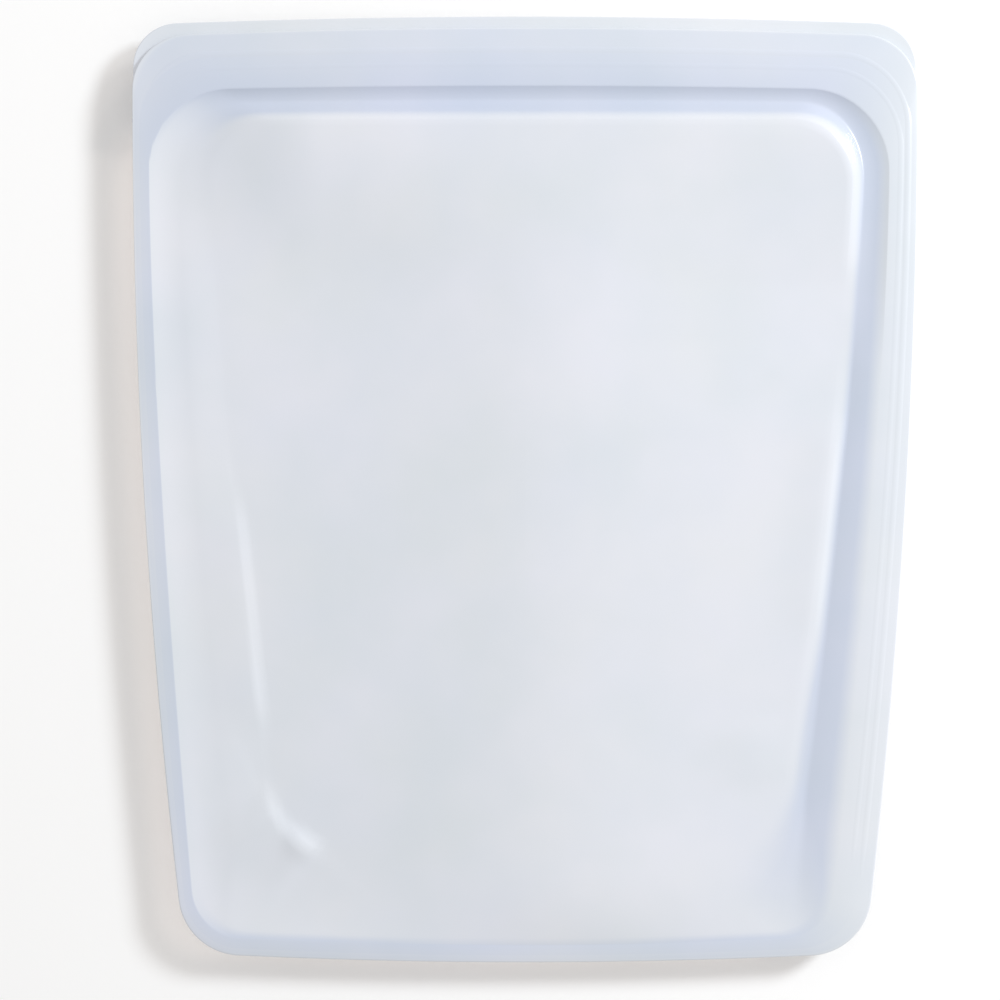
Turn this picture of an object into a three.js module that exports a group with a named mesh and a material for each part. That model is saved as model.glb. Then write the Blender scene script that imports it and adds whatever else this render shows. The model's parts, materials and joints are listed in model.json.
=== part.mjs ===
// Reusable silicone storage bag, lying flat on its back half with the mouth towards +Y.
// Two dished silicone mouldings, front and back, are bonded together round the sides and the base.
// The mouth stays open between them and closes by two V ribs that press into two V grooves.
// Millimetres, +Z up, origin on the table under the middle of the bag.
import * as THREE from "three";

// ---- Driving dimensions ----
const LENGTH = 256; // base edge to the tall lip's edge, along the middle
const MOUTH_WIDTH = 212; // widest, just under the mouth's corners
const BASE_WIDTH = 187; // where the base corners begin
const SHEET = 1.5; // thickness of both mouldings
const GAP = 0.3; // clearance between neighbouring solids
const BACK_DEPTH = 10; // table to the plane where the two halves meet
const FRONT_RISE = 4.5; // that plane to the front panel's outer face
const MOUTH_RADIUS = 12; // outer corners at the mouth
const BASE_RADIUS = 17; // outer corners at the base
const MOUTH_ARCH = 1.8; // how far the lip's edge rises towards its middle
const BASE_ARCH = 1.8; // how far the base edge bows out
const FLANGE = 6.5; // width of the bonded rim at the sides and base
const BAND = 19.4; // depth of the mouth band, from the dish to the tall lip's edge
const LIP_STEP = 3.5; // how far the back lip stands past the front lip
const DISH_MOUTH_RADIUS = 22; // dish corners at the mouth
const DISH_BASE_RADIUS = 14; // dish corners at the base
const DISH_ARCH = 0.8; // how far the dish's mouth edge rises towards its middle
const WALL_MOUTH = 9.6; // plan width of the sloping wall at the mouth
const WALL_SIDE_TOP = 11.7; // the same at the sides, next to the mouth
const WALL_SIDE_BASE = 16; // and at the sides, next to the base
const WALL_BASE = 18; // and at the base
const PANEL_MOUTH_RADIUS = 16; // panel corners at the mouth
const PANEL_BASE_RADIUS = 18; // panel corners at the base
const GUTTER = 2; // how far the front wall dips before it rises to the panel
const SEAL_END = 18; // length of the fused corner at each end of the seal
const SEAL_DEPTH = 12; // depth of the seal strips, from the dish outwards
const RIBS = [5.4, 9.2]; // middle of each rib, from the dish outwards
const RIB_BASE = 2.8; // width of a rib where it leaves the lip
const RIB_TIP = 0.6; // width of its blunt tip
const RIB_HEIGHT = 1.4;
const GROOVE_STOCK = 1.2; // extra thickness under the back lip that holds the grooves
const BEAD = 0.5; // how far the grip bead stands proud of a lip
const BEAD_WIDTH = 1.6;

// ---- Levels and outlines worked out from them ----
const TOP = LENGTH / 2;
const FRONT_UNDER = BACK_DEPTH + GAP / 2; // inner face of the front rim and lip
const FRONT_FACE = FRONT_UNDER + SHEET;
const BACK_UNDER = BACK_DEPTH - GAP / 2; // inner face of the back rim and lip
const BACK_FACE = BACK_UNDER - SHEET;
const PANEL_FACE = BACK_DEPTH + FRONT_RISE;

// Each outline is described by its half widths, ends, corner radii and the bow of its two ends.
const RIM = {
  halfMouth: MOUTH_WIDTH / 2,
  halfBase: BASE_WIDTH / 2,
  top: TOP,
  bottom: -TOP,
  mouthRadius: MOUTH_RADIUS,
  baseRadius: BASE_RADIUS,
  mouthArch: MOUTH_ARCH,
  baseArch: BASE_ARCH,
};
const DISH = {
  halfMouth: RIM.halfMouth - FLANGE,
  halfBase: RIM.halfBase - FLANGE,
  top: TOP - BAND,
  bottom: -TOP + FLANGE,
  mouthRadius: DISH_MOUTH_RADIUS,
  baseRadius: DISH_BASE_RADIUS,
  mouthArch: DISH_ARCH,
  baseArch: BASE_ARCH,
};
const PANEL = {
  halfMouth: DISH.halfMouth - WALL_SIDE_TOP,
  halfBase: DISH.halfBase - WALL_SIDE_BASE,
  top: DISH.top - WALL_MOUTH,
  bottom: DISH.bottom + WALL_BASE,
  mouthRadius: PANEL_MOUTH_RADIUS,
  baseRadius: PANEL_BASE_RADIUS,
  mouthArch: 0,
  baseArch: BASE_ARCH,
};
const FLAP_HALF = PANEL.halfMouth - PANEL.mouthRadius - 2; // half width of the wall that opens
const LIP_HALF = RIM.halfMouth - SEAL_END; // half length of the lips that open

// The same outline, drawn in by a clearance all round.
function inset(o, by) {
  return {
    ...o,
    halfMouth: o.halfMouth - by,
    halfBase: o.halfBase - by,
    top: o.top - by,
    bottom: o.bottom + by,
    mouthRadius: o.mouthRadius - by,
    baseRadius: o.baseRadius - by,
  };
}

// ---- Outline geometry ----
const STEPS = { flap: 6, mouthCorner: 7, side: 10, baseCorner: 7, base: 6 };
const FLAP_EDGE = STEPS.flap;
const POUCH_EDGE = FLAP_EDGE + 1;
const CORNER = POUCH_EDGE + 1;
const SIDE = CORNER + STEPS.mouthCorner;
const BASE_CORNER = SIDE + STEPS.side;
const BASE = BASE_CORNER + STEPS.baseCorner;
const MIDDLE = BASE + STEPS.base;
const JOINT = 0.12; // share of a step left open between two walls that meet in a corner

const sideTop = (o) => o.top - o.mouthArch - o.mouthRadius;

// Lowest point of the side curve and the angle it has turned inwards by there.
function sideEnd(o) {
  const reach = sideTop(o) - (o.bottom + o.baseArch + o.baseRadius);
  const turn = Math.atan((2 * (o.halfMouth - o.halfBase)) / reach);
  const y = o.bottom + o.baseArch + o.baseRadius * (1 - Math.sin(turn));
  return { y, turn };
}

// Half width of the side curve at y: a parabola, upright where it leaves the mouth's corner.
function sideX(o, y) {
  const share = (sideTop(o) - y) / (sideTop(o) - sideEnd(o).y);
  return o.halfMouth - (o.halfMouth - o.halfBase) * share * share;
}

// Height of the mouth edge at x: a shallow arch.
function mouthY(o, x) {
  const share = x / (o.halfMouth - o.mouthRadius);
  return o.top - o.mouthArch * share * share;
}

// Right half of an outline as points, from the middle of the mouth round to the middle of the base.
function halfOutline(o) {
  const points = [];
  const add = (count, point) => {
    for (let i = 0; i < count; i++) points.push(point(i / count));
  };
  const cornerX = o.halfMouth - o.mouthRadius;
  const end = sideEnd(o);
  const baseX = o.halfBase - o.baseRadius * Math.cos(end.turn);
  const baseY = o.bottom + o.baseArch + o.baseRadius;
  const edge = (x) => new THREE.Vector2(x, mouthY(o, x));
  add(STEPS.flap, (t) => edge(t * FLAP_HALF));
  add(1, () => edge(FLAP_HALF));
  add(1, () => edge(FLAP_HALF + GAP));
  add(STEPS.mouthCorner, (t) => {
    const a = ((1 - t) * Math.PI) / 2;
    return new THREE.Vector2(
      cornerX + o.mouthRadius * Math.cos(a),
      sideTop(o) + o.mouthRadius * Math.sin(a),
    );
  });
  add(STEPS.side, (t) => {
    const y = sideTop(o) + t * (end.y - sideTop(o));
    return new THREE.Vector2(sideX(o, y), y);
  });
  add(STEPS.baseCorner, (t) => {
    const a = -end.turn - t * (Math.PI / 2 - end.turn);
    return new THREE.Vector2(
      baseX + o.baseRadius * Math.cos(a),
      baseY + o.baseRadius * Math.sin(a),
    );
  });
  add(STEPS.base + 1, (t) => {
    const share = 1 - (t * (STEPS.base + 1)) / STEPS.base;
    return new THREE.Vector2(baseX * share, o.bottom + o.baseArch * share * share);
  });
  return points;
}

// Point at a fractional place along a half outline.
function at(points, u) {
  const i = Math.min(Math.floor(u), points.length - 2);
  return points[i].clone().lerp(points[i + 1], u - i);
}

// Whole and fractional places from u0 to u1, with every point between them.
function span(u0, u1) {
  const places = [u0];
  for (let i = Math.floor(u0) + 1; i < u1; i++) places.push(i);
  places.push(u1);
  return places;
}

const rim = halfOutline(RIM);
const dish = halfOutline(DISH);
const wallOuter = halfOutline(inset(DISH, GAP));
const wallInner = halfOutline(PANEL);
const panelEdge = halfOutline(inset(PANEL, GAP));

// ---- Solids ----
// A closed solid through a row of sections, each the same number of points round a closed loop.
function loft(sections) {
  const round = sections[0].length;
  const positions = sections.flat().flatMap((p) => [p.x, p.y, p.z]);
  const index = [];
  for (let i = 0; i + 1 < sections.length; i++) {
    for (let j = 0; j < round; j++) {
      const a = i * round + j;
      const b = i * round + ((j + 1) % round);
      index.push(a, b, a + round, b, b + round, a + round);
    }
  }
  const first = sections[0];
  const along = first[Math.floor(round / 2) - 1].clone().sub(first[0]);
  along.z = 0;
  along.normalize();
  const flat = first.map((p) => new THREE.Vector2(p.clone().sub(first[0]).dot(along), p.z));
  const last = (sections.length - 1) * round;
  const clockwise = THREE.ShapeUtils.area(flat) < 0;
  for (const [a, p, q] of THREE.ShapeUtils.triangulateShape(flat, [])) {
    const [b, c] = clockwise ? [q, p] : [p, q];
    index.push(a, c, b, last + a, last + b, last + c);
  }
  return outward(positions, index);
}

// Turns every face round if the solid they close is inside out.
function outward(positions, index) {
  const corner = (i) => new THREE.Vector3().fromArray(positions, 3 * i);
  let volume = 0;
  for (let i = 0; i < index.length; i += 3) {
    const [a, b, c] = [corner(index[i]), corner(index[i + 1]), corner(index[i + 2])];
    volume += a.dot(b.cross(c));
  }
  if (volume < 0) index.reverse();
  return new THREE.BufferGeometry()
    .setAttribute("position", new THREE.Float32BufferAttribute(positions, 3))
    .setIndex(index);
}

// A plate of a plan outline between two levels.
function plate(outline, low, high) {
  const geometry = new THREE.ExtrudeGeometry(new THREE.Shape(outline), {
    depth: high - low,
    bevelEnabled: false,
    steps: 1,
  });
  return geometry.translate(0, 0, low);
}

// A part of the sloping wall. stations are [side, place] pairs along the half outlines, and the
// profile gives [share of the way to the panel, height of the outer face]; thick is towards the inside.
function wall(stations, profile, thick) {
  return loft(
    stations.map(([side, u]) => {
      const outer = at(wallOuter, u);
      const inner = at(wallInner, u);
      const point = (share, z) => {
        const p = outer.clone().lerp(inner, share);
        return new THREE.Vector3(side * p.x, p.y, z);
      };
      const face = profile.map(([share, z]) => point(share, z));
      const inside = profile.map(([share, z]) => point(share, z + thick)).reverse();
      return [...face, ...inside];
    }),
  );
}

// The front wall dips into a gutter beside the rim and then rises to the panel.
const RISE = PANEL_FACE - (FRONT_FACE - GUTTER);
const FRONT_PROFILE = [
  [0, FRONT_FACE],
  [0.3, FRONT_FACE - 0.45 * GUTTER],
  [0.58, FRONT_FACE - GUTTER],
  [0.72, FRONT_FACE - GUTTER + 0.12 * RISE],
  [0.88, FRONT_FACE - GUTTER + 0.68 * RISE],
  [1, PANEL_FACE],
];
// The back wall falls from the rim and runs out flat on the table.
const BACK_PROFILE = [
  [0, BACK_FACE],
  [0.2, 0.64 * BACK_FACE],
  [0.45, 0.28 * BACK_FACE],
  [0.7, 0.08 * BACK_FACE],
  [1, 0],
];
const HALVES = {
  front: { profile: FRONT_PROFILE, thick: -SHEET },
  back: { profile: BACK_PROFILE, thick: SHEET },
};

function sideWall(half, side) {
  const { profile, thick } = HALVES[half];
  return wall(span(POUCH_EDGE, BASE_CORNER).map((u) => [side, u]), profile, thick);
}

function baseWall(half) {
  const right = span(BASE_CORNER + JOINT, MIDDLE).map((u) => [1, u]);
  const left = right.slice(0, -1).map(([, u]) => [-1, u]);
  const { profile, thick } = HALVES[half];
  return wall([...right, ...left.reverse()], profile, thick);
}

function mouthWall(half) {
  const right = span(0, FLAP_EDGE).map((u) => [1, u]);
  const left = right.slice(1).map(([, u]) => [-1, u]);
  const { profile, thick } = HALVES[half];
  return wall([...left.reverse(), ...right], profile, thick);
}

function panel(low) {
  const right = panelEdge;
  const left = right.slice(1, -1).map((p) => new THREE.Vector2(-p.x, p.y));
  return plate([...right, ...left.reverse()], low, low + SHEET);
}

// The fused corner where the lips end: both halves in one thickness. Its tongue fills the space
// between the end of the lips and the dish's rounded corner.
function sealEnd(side) {
  const startX = LIP_HALF + GAP;
  const cut = sideTop(DISH);
  const outer = [
    new THREE.Vector2(startX, mouthY(RIM, startX)),
    ...rim.slice(CORNER, SIDE + 1).filter((p) => p.x > startX),
    new THREE.Vector2(sideX(RIM, cut), cut),
  ];
  const inner = dish.slice(CORNER + 1, SIDE + 1).reverse();
  const tongueX = inner[inner.length - 1].x;
  const tongue = [tongueX, startX].map((x) => new THREE.Vector2(x, mouthY(DISH, x)));
  const points = [...outer, ...inner, ...tongue];
  return plate(points.map((p) => new THREE.Vector2(side * p.x, p.y)), BACK_FACE, FRONT_FACE);
}

// The bonded rim down one side.
function sideRim(side) {
  const cut = sideTop(DISH) - GAP;
  const run = (o, points) => [
    new THREE.Vector2(sideX(o, cut), cut),
    ...points.slice(SIDE, BASE_CORNER + 1).filter((p) => p.y < cut - GAP),
  ];
  const points = [...run(RIM, rim), ...run(DISH, dish).reverse()];
  return plate(points.map((p) => new THREE.Vector2(side * p.x, p.y)), BACK_FACE, FRONT_FACE);
}

// The bonded rim round the base.
function baseRim() {
  const places = span(BASE_CORNER + JOINT, MIDDLE);
  const across = (points) => {
    const right = places.map((u) => at(points, u));
    const left = right.slice(0, -1).map((p) => new THREE.Vector2(-p.x, p.y));
    return [...right, ...left.reverse()];
  };
  return plate([...across(rim), ...across(dish).reverse()], BACK_FACE, FRONT_FACE);
}

// A strip along the mouth band. The section is [distance out from the dish, height] points.
const LIP_STEPS = 18;
function strip(section) {
  const sections = [];
  for (let i = 0; i <= LIP_STEPS; i++) {
    const x = LIP_HALF * ((2 * i) / LIP_STEPS - 1);
    const from = mouthY(DISH, x);
    const scale = (mouthY(RIM, x) - from) / BAND;
    sections.push(section.map(([d, z]) => new THREE.Vector3(x, from + d * scale, z)));
  }
  return loft(sections);
}

const ribPoints = (from, grow) =>
  RIBS.flatMap((middle) => [
    [middle - RIB_BASE / 2 - grow, from],
    [middle - RIB_TIP / 2 - grow / 2, from - RIB_HEIGHT],
    [middle + RIB_TIP / 2 + grow / 2, from - RIB_HEIGHT],
    [middle + RIB_BASE / 2 + grow, from],
  ]);

// Front half of the seal: two V ribs under the lip.
function ribStrip() {
  return strip([
    [GAP, FRONT_FACE],
    [SEAL_DEPTH, FRONT_FACE],
    [SEAL_DEPTH, FRONT_UNDER],
    ...ribPoints(FRONT_UNDER, 0).reverse(),
    [GAP, FRONT_UNDER],
  ]);
}

// Back half of the seal: two V grooves in a thicker strip.
function grooveStrip() {
  const widen = GAP * 1.5;
  return strip([
    [GAP, BACK_UNDER],
    ...ribPoints(BACK_UNDER, widen),
    [SEAL_DEPTH, BACK_UNDER],
    [SEAL_DEPTH, BACK_FACE - GROOVE_STOCK],
    [GAP, BACK_FACE - GROOVE_STOCK],
  ]);
}

// A lip's free edge, with a grip bead along it on the outer face.
function pullLip(end, inner, face) {
  const out = Math.sign(face - inner);
  const start = SEAL_DEPTH + GAP;
  return strip([
    [start, inner],
    [start, face],
    [end - BEAD_WIDTH - BEAD, face],
    [end - BEAD_WIDTH, face + out * BEAD],
    [end - BEAD / 2, face + out * BEAD],
    [end, face],
    [end, inner],
  ]);
}

// ---- Assembly ----
const silicone = (color, roughness) =>
  new THREE.MeshStandardMaterial({ color, roughness, metalness: 0, side: THREE.FrontSide });
const PANEL_LOOK = silicone(0xe0e4ea, 0.38);
const WALL_LOOK = silicone(0xd3d9e3, 0.35);
const RIM_LOOK = silicone(0xe6eaf0, 0.32);
const MOUTH_LOOK = silicone(0xd5dde9, 0.34);

function add(group, name, geometry, look) {
  const mesh = new THREE.Mesh(geometry, look);
  mesh.name = name;
  group.add(mesh);
}

const bag = new THREE.Group();
const pouch = new THREE.Group(); // everything that stays with the back panel on the table
const frontFlap = new THREE.Group(); // turns up about the front panel's mouth edge
const backFlap = new THREE.Group(); // turns down about the back panel's mouth edge
bag.add(pouch, frontFlap, backFlap);

add(pouch, "front_panel", panel(PANEL_FACE - SHEET), PANEL_LOOK);
add(pouch, "back_panel", panel(0), PANEL_LOOK);
for (const half of ["front", "back"]) {
  add(pouch, half + "_left_wall", sideWall(half, -1), WALL_LOOK);
  add(pouch, half + "_right_wall", sideWall(half, 1), WALL_LOOK);
  add(pouch, half + "_base_wall", baseWall(half), WALL_LOOK);
}
for (const [name, side] of [["left", -1], ["right", 1]]) {
  add(pouch, name + "_edge_bond", sideRim(side), RIM_LOOK);
  add(pouch, name + "_seal_end", sealEnd(side), MOUTH_LOOK);
}
add(pouch, "base_edge_bond", baseRim(), RIM_LOOK);

add(frontFlap, "front_mouth_wall", mouthWall("front"), WALL_LOOK);
add(frontFlap, "front_seal_ribs", ribStrip(), MOUTH_LOOK);
add(frontFlap, "front_pull_lip", pullLip(BAND - LIP_STEP, FRONT_UNDER, FRONT_FACE), MOUTH_LOOK);

add(backFlap, "back_mouth_wall", mouthWall("back"), WALL_LOOK);
add(backFlap, "back_seal_grooves", grooveStrip(), MOUTH_LOOK);
add(backFlap, "back_pull_lip", pullLip(BAND, BACK_UNDER, BACK_FACE), MOUTH_LOOK);

export default bag;
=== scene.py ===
"""Reusable silicone bag lying flat: two dished mouldings, bonded round the sides and base.

They close at the mouth with a press seal. Each moulding is one smooth shell, cut along the line where its lip
hinges. The lip is two halves that meet in the middle.
"""

import json
import math

import bmesh
import bpy
import numpy as np
from bpy.props import FloatProperty, FloatVectorProperty, PointerProperty
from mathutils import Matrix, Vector


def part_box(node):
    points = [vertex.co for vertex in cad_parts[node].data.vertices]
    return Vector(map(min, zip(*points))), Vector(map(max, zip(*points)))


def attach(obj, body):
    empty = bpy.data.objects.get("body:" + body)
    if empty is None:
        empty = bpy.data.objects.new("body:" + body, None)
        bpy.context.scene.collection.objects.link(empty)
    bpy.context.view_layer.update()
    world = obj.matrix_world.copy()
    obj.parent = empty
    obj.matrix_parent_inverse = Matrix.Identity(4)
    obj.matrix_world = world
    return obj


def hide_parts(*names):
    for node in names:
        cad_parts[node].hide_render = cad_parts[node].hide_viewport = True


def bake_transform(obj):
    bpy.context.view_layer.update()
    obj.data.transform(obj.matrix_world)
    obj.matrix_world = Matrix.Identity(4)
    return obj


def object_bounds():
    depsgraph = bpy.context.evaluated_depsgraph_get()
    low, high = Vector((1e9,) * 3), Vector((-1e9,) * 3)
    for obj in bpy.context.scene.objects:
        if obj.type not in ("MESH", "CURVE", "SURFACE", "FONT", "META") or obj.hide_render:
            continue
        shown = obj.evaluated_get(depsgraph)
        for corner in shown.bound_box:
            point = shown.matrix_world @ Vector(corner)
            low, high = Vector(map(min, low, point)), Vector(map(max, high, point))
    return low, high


bl_info = {
    "name": "Silicone bag",
    "version": (1, 0, 0),
    "blender": (4, 5, 0),
    "location": "3D View > Sidebar > Bag",
    "description": "Builds a press-seal silicone bag, its seal and its stage",
    "category": "Add Mesh",
}

MM = 0.001

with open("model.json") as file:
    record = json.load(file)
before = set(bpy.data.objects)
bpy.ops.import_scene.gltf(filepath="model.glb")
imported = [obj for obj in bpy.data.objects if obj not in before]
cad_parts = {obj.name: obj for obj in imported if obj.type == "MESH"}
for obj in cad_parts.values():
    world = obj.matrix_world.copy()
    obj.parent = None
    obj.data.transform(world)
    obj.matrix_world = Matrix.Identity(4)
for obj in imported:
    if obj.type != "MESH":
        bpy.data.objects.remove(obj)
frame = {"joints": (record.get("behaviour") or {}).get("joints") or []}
CAD_LOW, CAD_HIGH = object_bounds()


def joint_place(name):
    """Place of a joint's axis, in metres."""
    return next(j["pos_m"] for j in frame["joints"] if j["name"] == name)


FOLD_Y = joint_place("front_lip_opens")[1]
FRONT_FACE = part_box("left_edge_bond")[1].z
BACK_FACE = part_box("left_edge_bond")[0].z
PANEL_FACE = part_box("front_panel")[1].z
MEETING = (FRONT_FACE + BACK_FACE) / 2


# ---- What a user would change ----
class BagShape(bpy.types.PropertyGroup):
    """Sizes of the two mouldings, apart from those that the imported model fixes."""

    sheet: FloatProperty(
        name="Sheet",
        description="Thickness of the back moulding",
        default=1.5 * MM,
        unit="LENGTH",
    )
    lip_step: FloatProperty(
        name="Lip step",
        description="How far the back lip stands past the front lip",
        default=3.4 * MM,
        unit="LENGTH",
    )
    left_rim: FloatProperty(
        name="Left rim",
        description="Width of the rim on the left",
        default=4.5 * MM,
        unit="LENGTH",
    )
    right_rim: FloatProperty(
        name="Right rim",
        description="Width of the rim on the right",
        default=7.8 * MM,
        unit="LENGTH",
    )
    gutter: FloatProperty(
        name="Gutter",
        description="Depth of the gutter between the rim and the panel",
        default=1.6 * MM,
        unit="LENGTH",
    )
    mouth_droop: FloatProperty(
        name="Mouth droop",
        description="How far the lips sink towards their edge",
        default=1.5 * MM,
        unit="LENGTH",
    )
    rim_droop: FloatProperty(
        name="Rim droop",
        description="How far the rim sinks towards its edge",
        default=0.7 * MM,
        unit="LENGTH",
    )
    sag: FloatProperty(
        name="Sag",
        description="How far the slack panel sinks in its middle",
        default=0.7 * MM,
        unit="LENGTH",
    )
    rib_height: FloatProperty(
        name="Seal rib height",
        description="From the middle of a press rib to its tip",
        default=1.2 * MM,
        unit="LENGTH",
    )
    rib_width: FloatProperty(
        name="Seal rib width",
        description="Width of the press ribs",
        default=2.2 * MM,
        unit="LENGTH",
    )


class BagLook(bpy.types.PropertyGroup):
    """Colours and finish of the silicone."""

    single: FloatVectorProperty(
        name="Single sheet",
        description="Where one sheet lies alone",
        subtype="COLOR",
        default=(0.685, 0.72, 0.77),
    )
    # Also the colour of painted shade: the gutters, the base wall and the left and base rims are pulled towards it
    # where they turn from the light.
    band: FloatVectorProperty(
        name="Doubled sheet",
        description="Where both sheets lie together",
        subtype="COLOR",
        default=(0.57, 0.622, 0.735),
    )
    panel: FloatVectorProperty(
        name="Panel",
        description="The panel over the hollow",
        subtype="COLOR",
        default=(0.70, 0.728, 0.783),
    )
    roughness: FloatProperty(
        name="Roughness",
        description="Roughness of the satin surface",
        default=0.17,
        min=0,
        max=1,
        subtype="FACTOR",
    )


class BagStage(bpy.types.PropertyGroup):
    """Light, floor and camera."""

    key: FloatProperty(
        name="Key light",
        description="Power of the soft key light",
        default=10.6,
        unit="POWER",
    )
    sky: FloatProperty(
        name="Sky",
        description="Strength of the even light from all round",
        default=0.65,
    )
    floor: FloatVectorProperty(
        name="Floor",
        description="Colour of the floor",
        subtype="COLOR",
        default=(0.97, 0.97, 0.97),
    )
    view_width: FloatProperty(
        name="View width",
        description="Width that the camera sees at the rim",
        default=0.2697,
        unit="LENGTH",
    )


# ---- Outlines ----
class Outline:
    """A rounded trapezium with bowed ends, the same number of points whatever its size."""

    steps = {"edge": 30, "mouth_corner": 16, "side": 50, "base_corner": 16, "base": 26}

    def __init__(self, left, right, top, bottom, radii, arches, power=2):
        self.sides = {-1: left, 1: right}
        self.power = power
        self.top, self.bottom = top, bottom
        self.mouth_radius, left_radius, right_radius = radii
        self.base_radii = {-1: left_radius, 1: right_radius}
        self.mouth_arch, self.base_arch = arches

    def half(self, side):
        """Points from the middle of the mouth round one side to the middle of the base."""
        mouth, base = self.sides[side]
        base_radius = self.base_radii[side]
        top = self.top - self.mouth_arch - self.mouth_radius
        base_y = self.bottom + self.base_arch + base_radius
        turn = math.atan(self.power * (mouth - base) / (top - base_y))
        low = base_y - base_radius * math.sin(turn)
        corner_x = mouth - self.mouth_radius
        base_x = base - base_radius * math.cos(turn)
        share = {name: np.arange(n) / n for name, n in self.steps.items()}
        x = share["edge"] * corner_x
        edge = (x, self.top - self.mouth_arch * share["edge"] ** 2)
        angle = (1 - share["mouth_corner"]) * math.pi / 2
        mouth_corner = (corner_x + self.mouth_radius * np.cos(angle), top + self.mouth_radius * np.sin(angle))
        y = top + share["side"] * (low - top)
        side_line = (mouth - (mouth - base) * share["side"] ** self.power, y)
        angle = -turn - share["base_corner"] * (math.pi / 2 - turn)
        base_corner = (base_x + base_radius * np.cos(angle), base_y + base_radius * np.sin(angle))
        out = 1 - np.arange(self.steps["base"] + 1) / self.steps["base"]
        bottom = (base_x * out, self.bottom + self.base_arch * out**2)
        points = np.hstack([np.array(p) for p in (edge, mouth_corner, side_line, base_corner, bottom)]).T
        return points * (side, 1)

    def loop(self):
        """The whole outline, clockwise from the middle of the mouth."""
        return np.vstack([self.half(1), self.half(-1)[-2:0:-1]])


# Corner radii of each outline: at the mouth, at the left of the base and at the right of the base.
BACK_RADII = (12 * MM, 17 * MM, 17 * MM)
FRONT_RADII = (15 * MM, 17 * MM, 17 * MM)
DISH_RADII = (22 * MM, 14 * MM, 14 * MM)
PANEL_RADII = (16 * MM, 18 * MM, 36 * MM)
# Half widths of the panel at the mouth and at the base.
PANEL_LEFT = (85 * MM, 68 * MM)
PANEL_RIGHT = (88 * MM, 71.5 * MM)
# How each outline's sides curve in: 1 is straight, 2 is a parabola.
DISH_CURVE, PANEL_CURVE = 1.5, 1.3
# How much narrower half of the bag is at its base, and how far its two ends bow out.
TAPER = 12.5 * MM
END_BOW = 1.8 * MM
DISH_MOUTH_BOW = 0.8 * MM
# Width of the flat band at the mouth and at the base, and how far from the base's edge the panel begins.
MOUTH_BAND = 19.4 * MM
BASE_BAND = 4.8 * MM
PANEL_BASE = 24 * MM


def outlines(shape):
    """The rim of each half, the dish's edge and the panel's edge."""
    half_mouth, top, bottom = CAD_HIGH.x, CAD_HIGH.y, CAD_LOW.y
    half_base = half_mouth - TAPER
    rim = (half_mouth, half_base)
    bows = (END_BOW, END_BOW)
    dish_left = (half_mouth - shape.left_rim, half_base - shape.left_rim + 1 * MM)
    dish_right = (half_mouth - shape.right_rim, half_base - shape.right_rim - 2.2 * MM)
    return {
        "back": Outline(rim, rim, top, bottom, BACK_RADII, bows),
        "front": Outline(rim, rim, top - shape.lip_step, bottom, FRONT_RADII, bows),
        "dish": Outline(
            dish_left,
            dish_right,
            top - MOUTH_BAND,
            bottom + BASE_BAND,
            DISH_RADII,
            (DISH_MOUTH_BOW, END_BOW),
            DISH_CURVE,
        ),
        "panel": Outline(
            PANEL_LEFT,
            PANEL_RIGHT,
            FOLD_Y + 0.2 * MM,
            bottom + PANEL_BASE,
            PANEL_RADII,
            (0, END_BOW),
            PANEL_CURVE,
        ),
    }


# ---- Shell surfaces ----
EDGE_INSETS = np.array([0, 0.05, 0.16, 0.32, 0.55]) * MM
EDGE_ROUND = 0.4 * MM
EDGE_DROP = 0.9 * EDGE_ROUND
RIM_RINGS = 34
WALL_SHARES = np.concatenate([[0.012, 0.03, 0.06], np.linspace(0.1, 1, 22)])
PANEL_SHARES = np.concatenate([np.linspace(0.02, 0.32, 17), np.linspace(0.36, 1, 14)])
SPINE = 18 * MM  # half the length of the line that the panel's rings close on
# Share of the light that passes each face of the milky sheet, on its way to the floor.
THROUGH_RIM = 0.66
THROUGH_WALL = 0.86


def smooth(t):
    t = np.clip(t, 0, 1)
    return t * t * (3 - 2 * t)


def rings(outer, dish, panel):
    """Plan points and zone places of every ring, from the outer edge to the spine: arrays of rings by points.
    The place is 0 to 1 across the rim, 1 to 2 across the wall and 2 to 3 across the panel."""
    a, b, c = (o.loop() for o in (outer, dish, panel))
    width = np.linalg.norm(b - a, axis=1)
    spine = np.column_stack([np.zeros(len(c)), np.clip(c[:, 1], -SPINE, SPINE)])
    plan, place = [], []

    def add(start, end, share, base):
        share = np.broadcast_to(share, len(start))
        plan.append(start + (end - start) * share[:, None])
        place.append(base + share)

    for inset in EDGE_INSETS:
        add(a, b, inset / width, 0)
    first = EDGE_INSETS[-1] / width
    for k in range(1, RIM_RINGS + 1):
        add(a, b, first + (1 - first) * k / RIM_RINGS, 0)
    for share in WALL_SHARES:
        add(b, c, share, 1)
    for share in PANEL_SHARES:
        add(c, spine, share, 2)
    return np.array(plan), np.array(place), width


def facing(outline):
    """How much each point of an outline faces the mouth, the base, the left and the right, adding up to 1."""
    p = outline.loop()
    along = np.roll(p, -1, 0) - np.roll(p, 1, 0)
    out = np.column_stack([-along[:, 1], along[:, 0]])
    out /= np.linalg.norm(out, axis=1)[:, None]
    x, y = out.T
    return {
        "mouth": np.clip(y, 0, 1) ** 2,
        "base": np.clip(-y, 0, 1) ** 2,
        "left": np.clip(-x, 0, 1) ** 2,
        "right": np.clip(x, 0, 1) ** 2,
    }


def mix(weights, **values):
    """A value for each point of an outline, from its value on each side."""
    return sum(weights[name] * value for name, value in values.items())


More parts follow.
